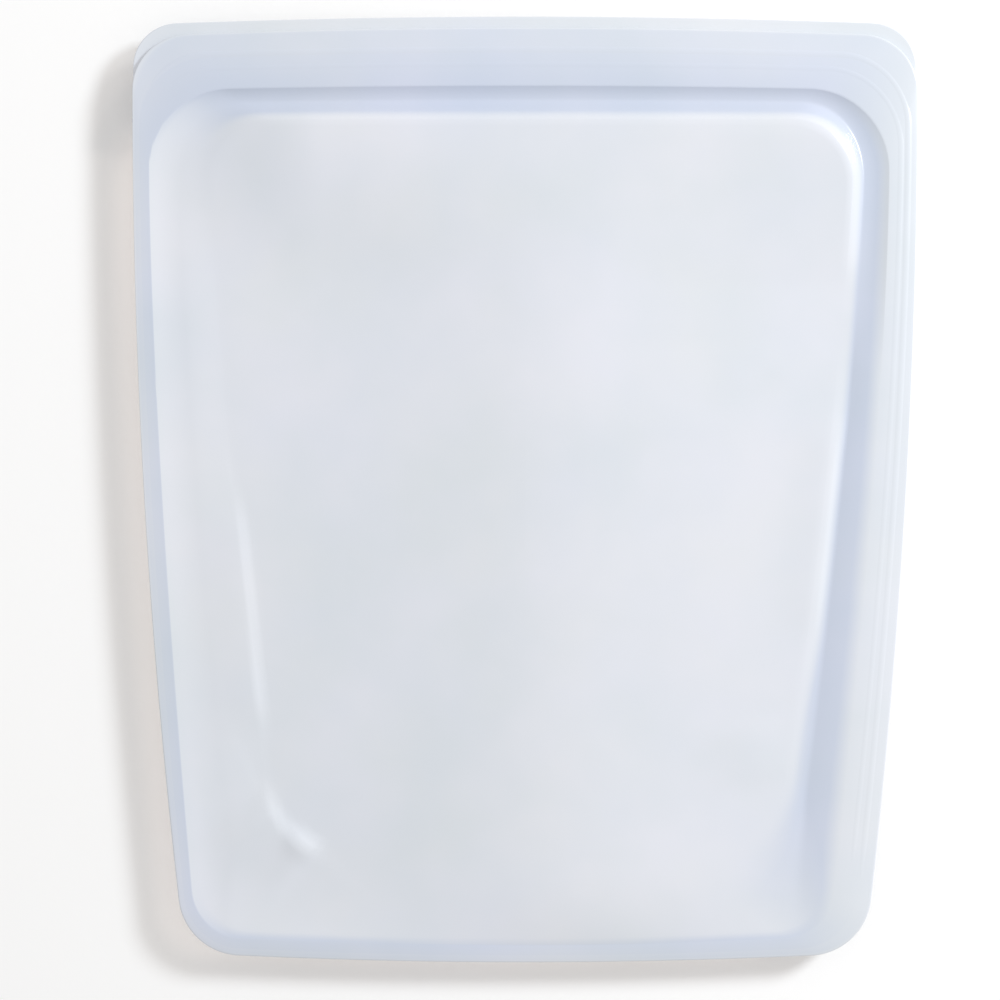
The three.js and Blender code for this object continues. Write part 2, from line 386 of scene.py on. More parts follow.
def path_distance(plan, path):
    """Distance from plan points to a polyline, their side of it, 1 or -1, and their place along it, 0 to 1."""
    best = np.full(plan.shape[:-1], 1e9)
    along = np.zeros(plan.shape[:-1])
    side = np.ones(plan.shape[:-1])
    path = np.array(path) * MM
    lengths = np.linalg.norm(np.diff(path, axis=0), axis=1)
    done = np.concatenate([[0], np.cumsum(lengths)]) / lengths.sum()
    for i, (p, q) in enumerate(zip(path, path[1:])):
        run, out = q - p, plan - p
        t = np.clip((out @ run) / (run @ run), 0, 1)
        d = np.linalg.norm(out - t[..., None] * run, axis=-1)
        nearer = d < best
        best = np.where(nearer, d, best)
        along = np.where(nearer, done[i] + t * (done[i + 1] - done[i]), along)
        side = np.where(nearer, np.sign(run[0] * out[..., 1] - run[1] * out[..., 0]), side)
    return best, side, along


# Soft folds of the slack panel, in millimetres: the line of the crest, its height, and how far it runs out on
# its steep side, towards the middle of the panel, and on its gentle side.
CRESTS = [
    ([(-79, 0), (-77.2, -12), (-75, -32), (-72.8, -56), (-71.2, -68)], 0.8, 1.2, 8),
    ([(-71.5, -82), (-67, -91), (-56, -99)], 1.25, 1.7, 13),
    ([(-64, -93.5), (-60, -96.5), (-56, -98.5)], 0.7, 2.2, 3.5),
    ([(60, -62), (64, -80)], 0.35, 9, 9),
    ([(87.3, 22), (83.6, 10), (81.2, -12), (79.2, -30), (77.6, -41)], 0.5, 1.0, 8),
]


def panel_folds(plan):
    """Height that the slack panel's folds add."""
    z = np.zeros(plan.shape[:-1])
    for path, height, steep, gentle in CRESTS:
        distance, side, along = path_distance(plan, path)
        width = np.where(side > 0, steep, gentle) * MM
        fade = smooth(along / 0.2) * smooth((1 - along) / 0.2)
        z += height * MM * (0.1 + 0.9 * fade) * np.exp(-((distance / width) ** 2))
    return z


def droop(shape, weights, place):
    """How far the rim sinks towards its outer edge, the same for both halves."""
    depth = mix(
        weights,
        mouth=shape.mouth_droop,
        base=shape.rim_droop,
        left=0.2 * shape.rim_droop,
        right=1.2 * shape.rim_droop,
    )
    return depth * np.clip(1 - place, 0, 1) ** 2


# How far the panel's right edge stands up at places along the bag, from the base to the mouth, in millimetres
# and as a share: it stays up only round the corner by the mouth.
UP_PLACES = (-60, -35, 15, 40, 55, 78, 95)
UP_SHARES = (0.1, 0.22, 0.2, 0.04, 0.07, 0.6, 1)
# How far the panel has settled at its left and right edges.
LEFT_SETTLED, RIGHT_SETTLED = 4.5 * MM, 4.4 * MM
# The left side settles from LEFT_FROM right of the middle, and the right side from RIGHT_FROM left of it.
LEFT_FROM, LEFT_RUN = 25 * MM, 102 * MM
RIGHT_FROM, RIGHT_RUN = 5 * MM, 91 * MM
# Towards the mouth the fold holds the left side up, apart from CORNER_LOST of it beside the corner.
HELD_FROM, HELD_RUN = 52 * MM, 45 * MM
CORNER_FROM, CORNER_RUN, CORNER_LOST = 56 * MM, 36 * MM, 0.8


def slack(plan):
    """How far the slack panel has settled towards both sides; the fold at the mouth stays up."""
    x, y = plan[..., 0], plan[..., 1]
    left = smooth((LEFT_FROM - x) / LEFT_RUN)
    beside_corner = smooth((-x - CORNER_FROM) / CORNER_RUN)
    held = smooth((y - HELD_FROM) / HELD_RUN) * (1 - CORNER_LOST * beside_corner)
    right = smooth((x + RIGHT_FROM) / RIGHT_RUN) * (1 - np.interp(y / MM, UP_PLACES, UP_SHARES))
    return LEFT_SETTLED * left * (1 - held) + RIGHT_SETTLED * right


# For each side of the dish: its gutter's depth, as a share of the full depth, and its share of the wall's width.
GUTTER_DEPTH = {"mouth": 0.85, "base": 0, "left": 0.7, "right": 0.85}
GUTTER_SHARE = {"mouth": 0.38, "base": 0, "left": 0.5, "right": 0.66}
# Below LATE_FROM on the right, the gutter falls later across its width.
LATE_FROM, LATE_RUN = 70 * MM, 60 * MM


def front_outer(shape, weights, plan, place):
    """Height of the front half's outer face."""
    gutter = shape.gutter * mix(weights, **GUTTER_DEPTH)
    low_right = smooth((LATE_FROM - plan[..., 1]) / LATE_RUN) * weights["right"]
    turn = mix(weights, **GUTTER_SHARE)
    wall = np.clip(place - 1, 0, 1)
    step = np.clip(wall / np.maximum(turn, 0.01), 0, 1)
    early, late = 1 - (1 - step) ** 2, step**1.6
    fall = gutter * (early + (late - early) * np.clip(1.3 * low_right, 0, 1))
    climb = np.clip((wall - turn) / (1 - turn), 0, 1)
    arched = 1 - (1 - climb) ** 2
    even = 0.4 * smooth(climb) + 0.6 * climb
    climb = even + (arched - even) * np.clip(1.2 * weights["base"], 0, 1)
    rise = (PANEL_FACE - FRONT_FACE + gutter - slack(plan)) * climb
    inside = np.clip(place - 2, 0, 1)
    z = FRONT_FACE - droop(shape, weights, place) - fall + rise
    z -= shape.sag * smooth(inside / 0.8)
    on_panel = smooth((place - 1.1) / 0.3)
    return z + on_panel * panel_folds(plan)


def back_outer(shape, weights, plan, place):
    """Height of the back half's outer face."""
    wall = np.clip(place - 1, 0, 1)
    return BACK_FACE * (1 - wall) ** 2 - droop(shape, weights, place) * (place < 1)


def write_values(mesh, key, values):
    """Keeps a number at each point of a mesh, for its material."""
    mesh.attributes.new(key, "FLOAT", "POINT").data.foreach_set("value", values.astype(np.float32))


def rim_tone_and_shade(weights, place):
    """The rim's tone at a place across it, from how far the two sheets seem to lie together, with painted light
    and shade by side.
    """
    inner_band = 0.5 + 0.2 * smooth((place - 0.40) / 0.05) + 0.25 * smooth((place - 0.42) / 0.6)
    # Painted light and shade: the right rim, which faces the lamp, is kept pale; the left and base rims, turned
    # from it, keep most of the darker tone.
    return inner_band * mix(weights, mouth=1, base=0.8, left=0.8, right=0.1)


# How strongly each part of the wall is painted with shade, in the darker tone of the double sheet: painted shade
# in the mouth gutter, the right gutter and its corner by the base.
MOUTH_WALL_SHADE, RIGHT_GUTTER_SHADE, CORNER_GUTTER_SHADE = 1.2, 1.15, 3.2
# The base's wall has less painted shade in its middle, within BASE_PALE, and reaches its full painted shade
# BASE_PALE_RUN further out.
BASE_PALE, BASE_PALE_RUN = 15 * MM, 40 * MM
BASE_WALL_SHADE, BASE_OUTER_SHADE = 0.42, 0.5
# Below this level the right gutter's painted shade reaches further in.
GUTTER_LOW, GUTTER_LOW_RUN = -35 * MM, 35 * MM


def sheet_values(weights, plan, place, single):
    """What the material reads at each point: a tone from how far the two sheets lie together, with painted light
    and shade on the rim and painted shade in the gutters and on the base wall; how far the sheet spans the hollow;
    and the share of light that passes a face. single is 1 where the moulding shows as one sheet."""
    band = rim_tone_and_shade(weights, place)
    # The tone fades out towards the outer edge, over a wider strip on the left and at the base: a painted
    # highlight along the rim's edge.
    band = band * smooth(place / mix(weights, mouth=0.04, base=0.2, left=0.2, right=0.05))
    # Painted shade on the wall: where the gutters and the base wall turn from the light, the colour is pulled
    # towards the double sheet's darker tone.
    wall = MOUTH_WALL_SHADE * weights["mouth"] * (1 - smooth((place - 1.6) / 0.42))
    off_middle = smooth((np.abs(plan[..., 0]) - BASE_PALE) / BASE_PALE_RUN)
    base_wall_shade = BASE_WALL_SHADE + BASE_OUTER_SHADE * off_middle
    wall += base_wall_shade * weights["base"] * (1 - smooth((place - 1.25) / 0.6))
    low = smooth((GUTTER_LOW - plan[..., 1]) / GUTTER_LOW_RUN)
    right_gutter_shade = smooth((place - 0.95) / 0.45) * (1 - smooth((place - 1.6 - 0.16 * low) / 0.26))
    wall += RIGHT_GUTTER_SHADE * weights["right"] * right_gutter_shade
    corner_gutter_shade = smooth((place - 0.98) / 0.22) * (1 - smooth((place - 1.35) / 0.4))
    wall += CORNER_GUTTER_SHADE * weights["right"] * weights["base"] * corner_gutter_shade
    doubled_and_shade = np.where(place <= 1, band, wall) * (1 - single)
    # The left and base walls take the panel's colour from the rim inwards; the mouth and right walls keep their
    # painted shade until near the panel.
    light_wall = mix(weights, mouth=0, base=1, left=1, right=0)
    over_hollow = smooth((place - 1.0) / 0.12) * light_wall
    over_hollow += smooth((place - 1.68) / 0.3) * (1 - light_wall)
    through = THROUGH_RIM + (THROUGH_WALL - THROUGH_RIM) * smooth((place - 0.85) / 0.3)
    return {"doubled_and_shade": doubled_and_shade, "over_hollow": over_hollow * (1 - single), "through": through}


def rounded(inset):
    """How far a face has turned down at this distance from the shell's edge."""
    near = np.clip(1 - inset / EDGE_ROUND, 0, 1)
    return EDGE_DROP * (1 - np.sqrt(1 - near**2))


def shell(name, plan, high, low, sheet):
    """A closed shell between two heights over the same plan points, as a bmesh that keeps values and normals."""
    upper = np.dstack([plan, high])[::-1]
    lower = np.dstack([plan, low])
    points = np.vstack([upper, lower])
    rows, around = points.shape[:2]
    count = rows * around
    grid = np.arange(count).reshape(rows, around)
    turned = np.roll(grid, -1, 1)
    faces = np.dstack([grid[:-1], turned[:-1], turned[1:], grid[1:]]).reshape(-1, 4)
    mesh = bpy.data.meshes.new(name)
    mesh.from_pydata(points.reshape(-1, 3), [], faces)
    for key, values in sheet.items():
        write_values(mesh, key, np.vstack([values[::-1], values]).ravel())
    bm = bmesh.new()
    bm.from_mesh(mesh)
    bpy.data.meshes.remove(mesh)
    bmesh.ops.remove_doubles(bm, verts=bm.verts, dist=1e-7)
    bmesh.ops.dissolve_degenerate(bm, edges=bm.edges, dist=1e-8)
    bmesh.ops.recalc_face_normals(bm, faces=bm.faces)
    bm.normal_update()
    bm.faces.layers.int.new("cap")
    kept = bm.verts.layers.float_vector.new("kept_normal")
    for v in bm.verts:
        v[kept] = v.normal
    return bm


def cut_away(bm, point, normal):
    """Removes what lies in front of a plane and closes the cut."""
    geometry = bm.verts[:] + bm.edges[:] + bm.faces[:]
    cut = bmesh.ops.bisect_plane(
        bm, geom=geometry, dist=1e-8, plane_co=point, plane_no=normal, clear_outer=True
    )["geom_cut"]
    edges = [e for e in cut if isinstance(e, bmesh.types.BMEdge) and e.is_boundary]
    made = bmesh.ops.triangle_fill(bm, use_beauty=False, use_dissolve=False, edges=edges, normal=normal)
    cap = bm.faces.layers.int["cap"]
    for f in made["geom"]:
        if isinstance(f, bmesh.types.BMFace):
            f[cap] = 1
    bmesh.ops.recalc_face_normals(bm, faces=bm.faces)


def add_object(name, data):
    """An object at the origin, in the scene."""
    made = bpy.data.objects.new(name, data)
    bpy.context.scene.collection.objects.link(made)
    return made


def finish_piece(name, bm, material):
    """Turns a cut shell into an object that keeps the uncut shell's normals, so that no seam shows at a cut."""
    mesh = bpy.data.meshes.new(name)
    kept = bm.verts.layers.float_vector["kept_normal"]
    cap = bm.faces.layers.int["cap"]
    normals = []
    for f in bm.faces:
        f.smooth = True
        for v in f.verts:
            normals.append(f.normal if f[cap] else v[kept].normalized())
    bm.to_mesh(mesh)
    bm.free()
    for spare in ("kept_normal", "cap"):
        if spare in mesh.attributes:
            mesh.attributes.remove(mesh.attributes[spare])
    mesh.normals_split_custom_set(normals)
    mesh.materials.append(material)
    return add_object(name, mesh)


def split_half(name, bm, material):
    """Cuts a half at its fold into the dish, and into the left and right halves of its lip."""
    fold = Vector((0, FOLD_Y, 0))
    cuts = {
        "dish": [(fold, Vector((0, 1, 0)))],
        "lip_left": [(fold, Vector((0, -1, 0))), (Vector(), Vector((1, 0, 0)))],
        "lip_right": [(fold, Vector((0, -1, 0))), (Vector(), Vector((-1, 0, 0)))],
    }
    pieces = {}
    for part, planes in cuts.items():
        copy = bm.copy()
        for point, normal in planes:
            cut_away(copy, point, normal)
        pieces[part] = finish_piece(f"{name}_{part}", copy, material)
    bm.free()
    return pieces


# A lip is fused beyond FUSED_X from the middle.
FUSED_X = 87 * MM


def bend_lip(piece):
    """Bakes the placing of half of a lip into its mesh; the lip is not bent."""
    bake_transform(piece)


# ---- Material ----
def add_sockets(tree, in_out, kinds):
    """Gives a node group its named inputs or outputs."""
    for name, kind in kinds.items():
        tree.interface.new_socket(name, in_out=in_out, socket_type=kind)


# Soft clouding of the colour, and its drift between pinker and greener, over the same range of the noise.
CLOUD_FROM, CLOUD_TO = (0.3, 0.7), (0.975, 1.025)
DRIFT_TO = ((0.985, 1, 0.985), (1.015, 1, 1.015))


def silicone_group():
    """Colour and roughness of milky silicone from values kept on the mesh, which also carry painted light and
    shade, with soft clouding and fine grain.
    """
    tree = bpy.data.node_groups.get("silicone_tone_and_shade")
    if tree:
        return tree
    tree = bpy.data.node_groups.new("silicone_tone_and_shade", "ShaderNodeTree")
    colour, number = "NodeSocketColor", "NodeSocketFloat"
    add_sockets(tree, "INPUT", {"Single": colour, "Band": colour, "Panel": colour, "Roughness": number})
    add_sockets(tree, "OUTPUT", {"Color": colour, "Roughness": number, "Height": number})
    nodes, link = tree.nodes, tree.links.new
    given = nodes.new("NodeGroupInput")
    result = nodes.new("NodeGroupOutput")
    place = nodes.new("ShaderNodeTexCoord")

    def mixed(key, a, b):
        """Two colours mixed by a value kept on the mesh."""
        value = nodes.new("ShaderNodeAttribute")
        value.attribute_name = key
        node = nodes.new("ShaderNodeMix")
        node.data_type = "RGBA"
        link(value.outputs["Fac"], node.inputs[0])
        link(a, node.inputs[6])
        link(b, node.inputs[7])
        return node.outputs[2]

    def noise(scale, detail):
        """Noise on Object coordinates."""
        node = nodes.new("ShaderNodeTexNoise")
        node.inputs["Scale"].default_value = scale
        node.inputs["Detail"].default_value = detail
        link(place.outputs["Object"], node.inputs["Vector"])
        return node

    # This attribute mixes in the double sheet's tone together with the painted shade of the gutters, the base wall
    # and the rim.
    blended = mixed("doubled_and_shade", given.outputs["Single"], given.outputs["Band"])
    blended = mixed("over_hollow", blended, given.outputs["Panel"])
    clouds = noise(26, 3)
    cloud_range = nodes.new("ShaderNodeMapRange")
    for end, low, high in (("Min", CLOUD_FROM[0], CLOUD_TO[0]), ("Max", CLOUD_FROM[1], CLOUD_TO[1])):
        cloud_range.inputs["From " + end].default_value = low
        cloud_range.inputs["To " + end].default_value = high
    link(clouds.outputs[0], cloud_range.inputs[0])
    drift = nodes.new("ShaderNodeMapRange")
    drift.data_type = "FLOAT_VECTOR"
    sockets = {socket.identifier: socket for socket in drift.inputs}
    for end, low, high in (("Min", CLOUD_FROM[0], DRIFT_TO[0]), ("Max", CLOUD_FROM[1], DRIFT_TO[1])):
        sockets[f"From_{end}_FLOAT3"].default_value = (low, low, low)
        sockets[f"To_{end}_FLOAT3"].default_value = high
    link(clouds.outputs["Color"], sockets["Vector"])
    tinted = nodes.new("ShaderNodeVectorMath")
    tinted.operation = "MULTIPLY"
    link(blended, tinted.inputs[0])
    link(drift.outputs["Vector"], tinted.inputs[1])
    clouded = nodes.new("ShaderNodeVectorMath")
    clouded.operation = "SCALE"
    link(tinted.outputs[0], clouded.inputs[0])
    link(cloud_range.outputs[0], clouded.inputs["Scale"])
    link(clouded.outputs[0], result.inputs["Color"])
    grain = noise(900, 2)
    link(grain.outputs[0], result.inputs["Height"])
    smear = noise(60, 4)
    rough = nodes.new("ShaderNodeMath")
    rough.operation = "MULTIPLY_ADD"
    rough.inputs[1].default_value = 0.12
    link(smear.outputs[0], rough.inputs[0])
    link(given.outputs["Roughness"], rough.inputs[2])
    link(rough.outputs[0], result.inputs["Roughness"])
    return tree


def silicone(name, look):
    """A milky silicone material, which lets part of the light through to the floor."""
    material = bpy.data.materials.new(name)
    material.use_nodes = True
    nodes, link = material.node_tree.nodes, material.node_tree.links.new
    shader = nodes["Principled BSDF"]
    tone = nodes.new("ShaderNodeGroup")
    tone.node_tree = silicone_group()
    for socket, value in (("Single", look.single), ("Band", look.band), ("Panel", look.panel)):
        tone.inputs[socket].default_value = (*value, 1)
    tone.inputs["Roughness"].default_value = look.roughness
    bump = nodes.new("ShaderNodeBump")
    bump.inputs["Strength"].default_value = 0.08
    bump.inputs["Distance"].default_value = 0.1 * MM
    link(tone.outputs["Color"], shader.inputs["Base Color"])
    link(tone.outputs["Roughness"], shader.inputs["Roughness"])
    link(tone.outputs["Height"], bump.inputs["Height"])
    link(bump.outputs["Normal"], shader.inputs["Normal"])
    shader.inputs["IOR"].default_value = 1.42
    path = nodes.new("ShaderNodeLightPath")
    through = nodes.new("ShaderNodeAttribute")
    through.attribute_name = "through"
    passed = nodes.new("ShaderNodeMath")
    passed.operation = "MULTIPLY"
    clear = nodes.new("ShaderNodeBsdfTransparent")
    clear.inputs["Color"].default_value = (1, 0.95, 0.91, 1)
    glow = nodes.new("ShaderNodeMixShader")
    link(through.outputs["Fac"], passed.inputs[0])
    link(path.outputs["Is Shadow Ray"], passed.inputs[1])
    link(passed.outputs[0], glow.inputs[0])
    link(shader.outputs[0], glow.inputs[1])
    link(clear.outputs[0], glow.inputs[2])
    link(glow.outputs[0], nodes["Material Output"].inputs["Surface"])
    return material


# ---- Pieces ----
SEAL_PLACES = (5.4 * MM, 9.2 * MM)  # middle of each press rib and its groove, from the dish outwards
FUSED_GAP, FREE_GAP = 0.03 * MM, 0.15 * MM  # from each half to the meeting level, and what the free lips add
GROOVE_FLAT, GROOVE_SLOPE, GROOVE_DEPTH = 0.5 * MM, 1.3 * MM, 1.6 * MM
STOCK_WIDTH, STOCK_DEPTH, STOCK_RAMP = 12.6 * MM, 1.2 * MM, 0.8 * MM  # extra silicone under the grooves
SEAL_POINTS, SEAL_END = 30, 1 * MM  # points along half a press rib, and how far short of the fused end it stops
SEAL_LOWERED, SEAL_TONE = 0.1 * MM, 0.3


def mouth_mask(plan):
    """1 along the free lips, 0 at their fused ends."""
    return smooth((FUSED_X - np.abs(plan[..., 0])) / (4 * MM)) * (plan[..., 1] > FOLD_Y)


class BAG_OT_front_half(bpy.types.Operator):
    """Build the front moulding: its dish and the two halves of its lip"""

    bl_idname = "bag.front_half"
    bl_label = "Front half"

    def execute(self, context):
        shape, look = context.scene.bag_shape, context.scene.bag_look
        drawn = outlines(shape)
        plan, place, width = rings(drawn["front"], drawn["dish"], drawn["panel"])
        weights = facing(drawn["dish"])
        outer = front_outer(shape, weights, plan, place)
        inset = np.clip(place, 0, 1) * width
        gap = FREE_GAP * mouth_mask(plan) + FUSED_GAP
        lip_under = MEETING + gap - droop(shape, weights, place)
        inner = np.where(place <= 1, lip_under, outer - (FRONT_FACE - lip_under))
        turned = rounded(inset)
        sheet = sheet_values(weights, plan, place, 0)
        bm = shell("front", plan, outer - turned, inner + turned * 0.5, sheet)
        pieces = split_half("front", bm, silicone("front_silicone", look))
        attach(pieces["dish"], "pouch")
        bend_lip(pieces["lip_left"])
        bend_lip(pieces["lip_right"])
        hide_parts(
            "front_panel",
            "front_left_wall",
            "front_right_wall",
            "front_base_wall",
            "left_edge_bond",
            "right_edge_bond",
            "base_edge_bond",
        )
        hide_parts("front_mouth_wall", "front_pull_lip", "left_seal_end")
        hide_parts("front_mouth_wall", "front_pull_lip", "right_seal_end")
        return {"FINISHED"}


class BAG_OT_back_half(bpy.types.Operator):
    """Build the back moulding: its dish and the two halves of its grooved lip"""

    bl_idname = "bag.back_half"
    bl_label = "Back half"

    def execute(self, context):
        shape, look = context.scene.bag_shape, context.scene.bag_look
        drawn = outlines(shape)
        plan, place, width = rings(drawn["back"], drawn["dish"], drawn["panel"])
        weights = facing(drawn["dish"])
        mask = mouth_mask(plan)
        on_rim = place <= 1
        outer = back_outer(shape, weights, plan, place)
        gap = FREE_GAP * mask + FUSED_GAP
        lip_top = MEETING - gap - droop(shape, weights, place)
        inner = np.where(on_rim, lip_top, outer + shape.sheet)
        inset = np.clip(place, 0, 1) * width
        from_dish = width - inset
        for middle in SEAL_PLACES:
            deep = 1 - (np.abs(from_dish - middle) - GROOVE_FLAT) / GROOVE_SLOPE
            inner -= np.where(on_rim, GROOVE_DEPTH * np.clip(deep, 0, 1) * mask, 0)
        stock = smooth((STOCK_WIDTH - from_dish) / STOCK_RAMP) * smooth(from_dish / STOCK_RAMP)
        outer -= np.where(on_rim, STOCK_DEPTH * stock * mask, 0)
        turned = rounded(inset)
        sheet = sheet_values(weights, plan, place, 1)
        bm = shell("back", plan, inner - turned, outer + turned, sheet)
        pieces = split_half("back", bm, silicone("back_silicone", look))
        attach(pieces["dish"], "pouch")
        bend_lip(pieces["lip_left"])
        bend_lip(pieces["lip_right"])
        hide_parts("back_panel", "back_left_wall", "back_right_wall", "back_base_wall")
        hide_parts("back_mouth_wall", "back_pull_lip", "back_seal_grooves")
        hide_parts("back_mouth_wall", "back_pull_lip", "back_seal_grooves")
        return {"FINISHED"}


# ---- Ribs: a section swept along lines ----
RIB_SIDES = 24


def rib_tree():
    """Geometry nodes that sweep an elliptical rib along every line of the mesh they are given. Height is from the
    middle of the rib to its top."""
    tree = bpy.data.node_groups.get("swept_ribs")
    if tree:
        return tree
    tree = bpy.data.node_groups.new("swept_ribs", "GeometryNodeTree")
    given_kinds = {
        "Lines": "NodeSocketGeometry",
        "Width": "NodeSocketFloat",
        "Height": "NodeSocketFloat",
        "Material": "NodeSocketMaterial",
    }
    add_sockets(tree, "INPUT", given_kinds)
    add_sockets(tree, "OUTPUT", {"Ribs": "NodeSocketGeometry"})
    nodes, link = tree.nodes, tree.links.new
    given = nodes.new("NodeGroupInput")
    result = nodes.new("NodeGroupOutput")
    lines = nodes.new("GeometryNodeMeshToCurve")
    upright = nodes.new("GeometryNodeSetCurveNormal")
    upright.mode = "Z_UP"
    circle = nodes.new("GeometryNodeCurvePrimitiveCircle")
    circle.inputs["Resolution"].default_value = RIB_SIDES
    circle.inputs["Radius"].default_value = 1
    scale = nodes.new("ShaderNodeCombineXYZ")
    scale.inputs["Z"].default_value = 1
    half = nodes.new("ShaderNodeMath")
    half.operation = "MULTIPLY"
    half.inputs[1].default_value = 0.5
    section = nodes.new("GeometryNodeTransform")
    sweep = nodes.new("GeometryNodeCurveToMesh")
    sweep.inputs["Fill Caps"].default_value = True
    shade = nodes.new("GeometryNodeSetShadeSmooth")
    realize = nodes.new("GeometryNodeRealizeInstances")
    paint = nodes.new("GeometryNodeSetMaterial")
    link(given.outputs["Lines"], lines.inputs[0])
    link(lines.outputs[0], upright.inputs[0])
    link(upright.outputs[0], sweep.inputs["Curve"])
    link(given.outputs["Width"], half.inputs[0])
    link(half.outputs[0], scale.inputs["X"])
    link(given.outputs["Height"], scale.inputs["Y"])
    link(circle.outputs[0], section.inputs[0])
    link(scale.outputs[0], section.inputs["Scale"])
    link(section.outputs[0], sweep.inputs["Profile Curve"])
    link(sweep.outputs[0], shade.inputs[0])
    link(shade.outputs[0], realize.inputs[0])
    link(realize.outputs[0], paint.inputs[0])
    link(given.outputs["Material"], paint.inputs["Material"])
    link(paint.outputs[0], result.inputs[0])
    return tree


def swept(name, lines, width, height, material, doubled_and_shade):
    """Ribs along lines of points, as one plain mesh at the origin. The last argument is a tone for each of the
    points, which for the edge ribs carries the rim's painted light and shade.
    """
    mesh = bpy.data.meshes.new(name + "_lines")
    verts, edges = [], []
    for line in lines:
        edges += [(len(verts) + i, len(verts) + i + 1) for i in range(len(line) - 1)]
        verts += [tuple(p) for p in line]
    mesh.from_pydata(verts, edges, [])
    guide = add_object(name + "_guide", mesh)
    modifier = guide.modifiers.new("ribs", "NODES")
    tree = rib_tree()
    modifier.node_group = tree
    sockets = {s.name: s.identifier for s in tree.interface.items_tree if s.in_out == "INPUT"}
    modifier[sockets["Width"]] = width
    modifier[sockets["Height"]] = height
    modifier[sockets["Material"]] = material
    graph = bpy.context.evaluated_depsgraph_get()
    made = bpy.data.meshes.new_from_object(guide.evaluated_get(graph))
    made.name = name
    bpy.data.objects.remove(guide)
    write_values(made, "doubled_and_shade", np.repeat(doubled_and_shade, RIB_SIDES))
    for key, value in (("over_hollow", 0), ("through", THROUGH_RIM)):
        write_values(made, key, np.full(len(made.vertices), value))
    bm = bmesh.new()
    bm.from_mesh(made)
    bmesh.ops.recalc_face_normals(bm, faces=bm.faces)
    bm.to_mesh(made)
    bm.free()
    return add_object(name, made)


class BAG_OT_seal_ribs(bpy.types.Operator):
    """Build the two press ribs under the front lip, a piece for each half of the mouth"""

    bl_idname = "bag.seal_ribs"
    bl_label = "Seal ribs"

    def execute(self, context):
        shape, look = context.scene.bag_shape, context.scene.bag_look
        drawn = outlines(shape)
        material = silicone("seal_silicone", look)
        lip_width = drawn["front"].top - drawn["dish"].top
        for side, name in ((-1, "left"), (1, "right")):
            x = np.linspace(0, 1, SEAL_POINTS) * (FUSED_X - SEAL_END)
            lines = []
            for middle in SEAL_PLACES:
                corner = drawn["dish"].sides[side][0] - drawn["dish"].mouth_radius
                y = drawn["dish"].top - drawn["dish"].mouth_arch * (x / corner) ** 2 + middle
                sink = shape.mouth_droop * (middle / lip_width) ** 2
                z = np.full(len(x), MEETING - SEAL_LOWERED - sink)
                lines.append(np.column_stack([side * x, y, z]))
            tone = np.full(len(x) * len(SEAL_PLACES), SEAL_TONE)
            piece = swept(f"seal_ribs_{name}", lines, shape.rib_width, shape.rib_height, material, tone)
            bend_lip(piece)
            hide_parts("front_seal_ribs")
        return {"FINISHED"}


RIB_PLACES = (0.42, 0.66)  # of each line, as a share of the way across the rim
RIB_WIDTH, RIB_HEIGHT, RIB_PROUD = 4 * MM, 0.6 * MM, 0.03 * MM
RIB_SPAN = (-108 * MM, 101 * MM)  # where the lines sink into the rim, on the right and on the left
RIB_FADE = 16 * MM


def parted(line):
    """A closed line from the middle of the mouth, parted at the fold into right lip, dish and left lip."""
    line = np.vstack([line, line[:1]])
    inside = line[:, 1] < FOLD_Y
    first = int(np.argmax(inside))
    last = len(line) - 1 - int(np.argmax(inside[::-1]))

    def crossing(i):
        p, q = line[i], line[i + 1]
        return p + (q - p) * (FOLD_Y - p[1]) / (q[1] - p[1])

    enter, leave = crossing(first - 1), crossing(last)
    return {
        "lip_right": np.vstack([line[:first], enter]),
        "dish": np.vstack([enter, line[first : last + 1], leave]),
        "lip_left": np.vstack([leave, line[last + 1 :]]),
    }


class BAG_OT_edge_ribs(bpy.types.Operator):
    """Build the fine raised lines that run round the front rim and lip"""

    bl_idname = "bag.edge_ribs"
    bl_label = "Edge ribs"

    def execute(self, context):
        shape, look = context.scene.bag_shape, context.scene.bag_look
        drawn = outlines(shape)
        weights = facing(drawn["dish"])
        material = silicone("edge_rib_silicone", look)
        outer, dish = drawn["front"].loop(), drawn["dish"].loop()
        lines = {"dish": [], "lip_left": [], "lip_right": []}
        for share in RIB_PLACES:
            plan = outer + (dish - outer) * share
            end = np.where(plan[:, 0] > 0, RIB_SPAN[0], RIB_SPAN[1])
            proud = RIB_PROUD - 2 * RIB_PROUD * smooth(1 - (plan[:, 1] - end) / RIB_FADE)
            height = FRONT_FACE - droop(shape, weights, share) + proud - RIB_HEIGHT
            # The ribs take the rim's tone, painted light and shade included.
            tone = rim_tone_and_shade(weights, share)
            for part, line in parted(np.column_stack([plan, height, tone])).items():
                if part == "dish":
                    line = line[(line[:, 0] > 0) & (line[:, 1] > RIB_SPAN[0])]
                lines[part].append(line)
        for part, found in lines.items():
            points = [line[:, :3] for line in found]
            tone = np.concatenate([line[:, 3] for line in found])
            piece = swept(f"edge_ribs_{part}", points, RIB_WIDTH, RIB_HEIGHT, material, tone)
            if part == "dish":
                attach(piece, "pouch")
            else:
                bend_lip(piece)
        return {"FINISHED"}


FLOOR_HALF = 3.0
LAMP_PLACE, LAMP_SIZE = (0.85, 0.50, 0.77), 0.28
CAMERA_X, CAMERA_Y = -6.78 * MM, -3.12 * MM


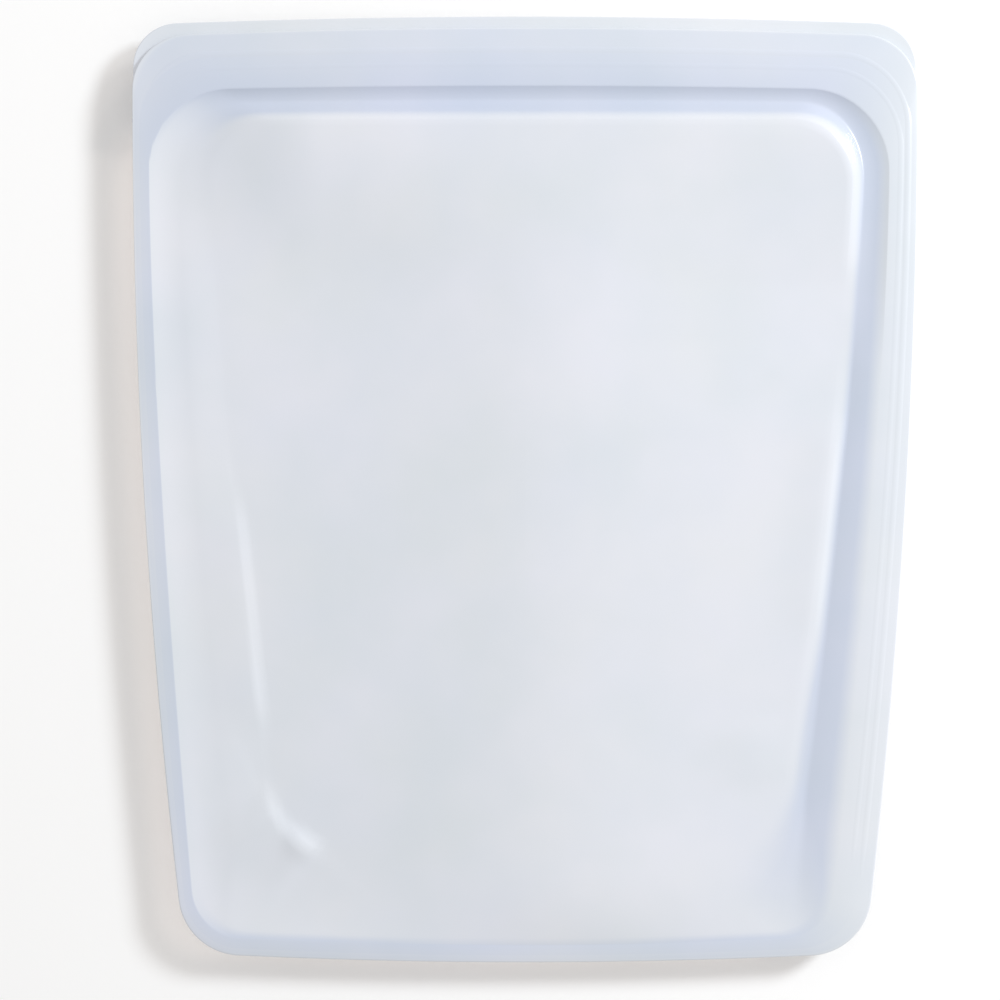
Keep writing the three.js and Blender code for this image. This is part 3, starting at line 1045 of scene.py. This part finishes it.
class BAG_OT_stage(bpy.types.Operator):
    """Set the pale floor, the soft light and the camera straight above"""

    bl_idname = "bag.stage"
    bl_label = "Stage"

    def execute(self, context):
        stage = context.scene.bag_stage
        floor_mesh = bpy.data.meshes.new("floor")
        half = FLOOR_HALF
        corners = [(-half, -half, 0), (half, -half, 0), (half, half, 0), (-half, half, 0)]
        floor_mesh.from_pydata(corners, [], [(0, 1, 2, 3)])
        floor = add_object("floor", floor_mesh)
        paint = bpy.data.materials.new("floor_paint")
        paint.use_nodes = True
        shader = paint.node_tree.nodes["Principled BSDF"]
        shader.inputs["Base Color"].default_value = (*stage.floor, 1)
        shader.inputs["Roughness"].default_value = 0.9
        shader.inputs["Specular IOR Level"].default_value = 0.1
        floor_mesh.materials.append(paint)

        world = bpy.data.worlds.new("studio")
        context.scene.world = world
        world.use_nodes = True
        background = world.node_tree.nodes["Background"]
        background.inputs["Color"].default_value = (1.0, 0.995, 0.99, 1)
        background.inputs["Strength"].default_value = stage.sky

        lamp_data = bpy.data.lights.new("key_light", "AREA")
        lamp_data.shape = "DISK"
        lamp_data.size = LAMP_SIZE
        lamp_data.energy = stage.key
        lamp_data.color = (1.0, 1.0, 1.0)
        lamp = add_object("key_light", lamp_data)
        lamp.location = LAMP_PLACE
        lamp.rotation_euler = (-Vector(lamp.location)).to_track_quat("-Z", "Y").to_euler()

        camera_data = bpy.data.cameras.new("camera")
        camera_data.lens = 85
        camera_data.sensor_width = 36
        camera = add_object("camera", camera_data)
        height = stage.view_width * camera_data.lens / camera_data.sensor_width
        camera.location = (CAMERA_X, CAMERA_Y, FRONT_FACE + height)
        context.scene.camera = camera
        context.scene.view_settings.view_transform = "Standard"
        return {"FINISHED"}


class BAG_PT_sidebar(bpy.types.Panel):
    """Lists the bag's settings and builders"""

    bl_idname = "BAG_PT_sidebar"
    bl_label = "Silicone bag"
    bl_space_type = "VIEW_3D"
    bl_region_type = "UI"
    bl_category = "Bag"

    def draw(self, context):
        for operator in OPERATORS:
            self.layout.operator(operator.bl_idname)
        for group in (context.scene.bag_shape, context.scene.bag_look, context.scene.bag_stage):
            for name in group.__annotations__:
                self.layout.prop(group, name)


GROUPS = {"bag_shape": BagShape, "bag_look": BagLook, "bag_stage": BagStage}
OPERATORS = (BAG_OT_stage, BAG_OT_front_half, BAG_OT_back_half, BAG_OT_seal_ribs, BAG_OT_edge_ribs)


def register():
    for cls in (*GROUPS.values(), *OPERATORS, BAG_PT_sidebar):
        bpy.utils.register_class(cls)
    for name, group in GROUPS.items():
        setattr(bpy.types.Scene, name, PointerProperty(type=group))


def unregister():
    for name in GROUPS:
        delattr(bpy.types.Scene, name)
    for cls in (BAG_PT_sidebar, *OPERATORS[::-1], *GROUPS.values()):
        bpy.utils.unregister_class(cls)


def main():
    register()
    bpy.ops.bag.stage()
    bpy.ops.bag.front_half()
    bpy.ops.bag.back_half()
    bpy.ops.bag.seal_ribs()
    bpy.ops.bag.edge_ribs()


if __name__ == "__main__":
    main()
